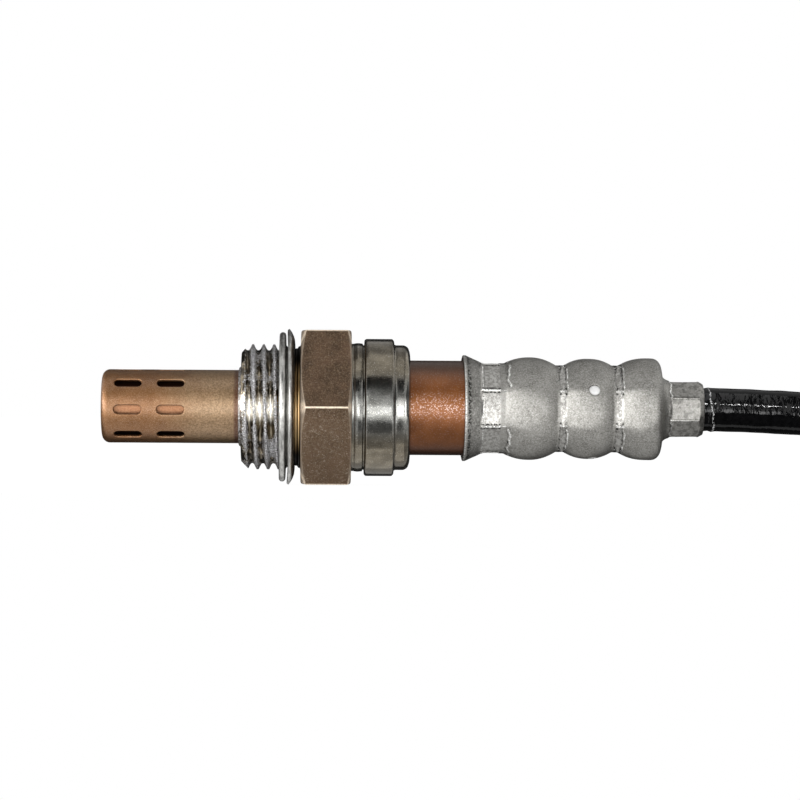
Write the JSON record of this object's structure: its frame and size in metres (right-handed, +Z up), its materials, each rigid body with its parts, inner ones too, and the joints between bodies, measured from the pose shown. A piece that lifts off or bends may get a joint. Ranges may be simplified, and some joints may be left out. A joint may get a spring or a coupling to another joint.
{
  "type": "oxygen sensor",
  "caption": "Heated exhaust oxygen sensor: slotted protection tube, threaded hexagon shell, crimped vented cover and sleeved lead with a sealed plug.",
  "frame": {"origin": "on the sensor's axis, where the crush gasket seals against the exhaust boss, at the rear end of the thread", "axes": "+X along the sensor from the sensing tip towards the lead, +Z up from the surface that it lies on, -Y towards the viewer"},
  "size_m": [0.2542, 0.0442, 0.0222],
  "materials": {
    "tube_steel": "satin",
    "inner_tube_steel": "satin",
    "zirconia": "satin",
    "alumina": "satin",
    "shell_nickel": "satin",
    "gasket_steel": "satin",
    "talc": "matte",
    "tinted_steel": "satin",
    "cover_steel": "satin",
    "ptfe": "satin",
    "grommet_rubber": "matte",
    "contact_nickel": "satin",
    "wire_violet": "satin",
    "wire_tan": "satin",
    "wire_black": "satin",
    "wire_brown": "satin",
    "sleeve_black": "gloss",
    "harness_tape": "matte",
    "shrink_black": "satin",
    "connector_plastic": "matte",
    "terminal_tin": "satin",
    "seal_silicone": "matte",
    "lock_plastic": "matte"
  },
  "bodies": {
    "root": {"outer_protection_tube": "tube_steel", "inner_protection_tube": "inner_tube_steel", "sensing_element": "zirconia", "heater_rod": "alumina", "housing": "shell_nickel", "crush_gasket": "gasket_steel", "seat_washer": "gasket_steel", "talc_seal": "talc", "ceramic_bushing": "alumina", "crimp_ring": "gasket_steel", "rear_sleeve": "tinted_steel", "outer_cover": "cover_steel", "vent_filter": "ptfe", "grommet": "grommet_rubber", "terminal_separator": "alumina", "separator_clip": "gasket_steel", "signal_contact": "contact_nickel", "ground_contact": "contact_nickel", "heater_terminal_a": "contact_nickel", "heater_terminal_b": "contact_nickel", "wire_signal": "wire_violet", "wire_ground": "wire_tan", "wire_heater_a": "wire_black", "wire_heater_b": "wire_brown", "lead_tube": "sleeve_black", "lead_hank": "sleeve_black", "lead_loop": "sleeve_black", "lead_end": "sleeve_black", "hank_tie": "harness_tape", "sleeve_end_band": "shrink_black", "tail_signal": "wire_violet", "tail_ground": "wire_tan", "tail_heater_a": "wire_black", "tail_heater_b": "wire_brown", "connector_housing": "connector_plastic", "connector_terminals": "terminal_tin", "connector_wire_seals": "seal_silicone", "connector_lock": "lock_plastic", "connector_face_seal": "seal_silicone"}
  },
  "joints": []
}
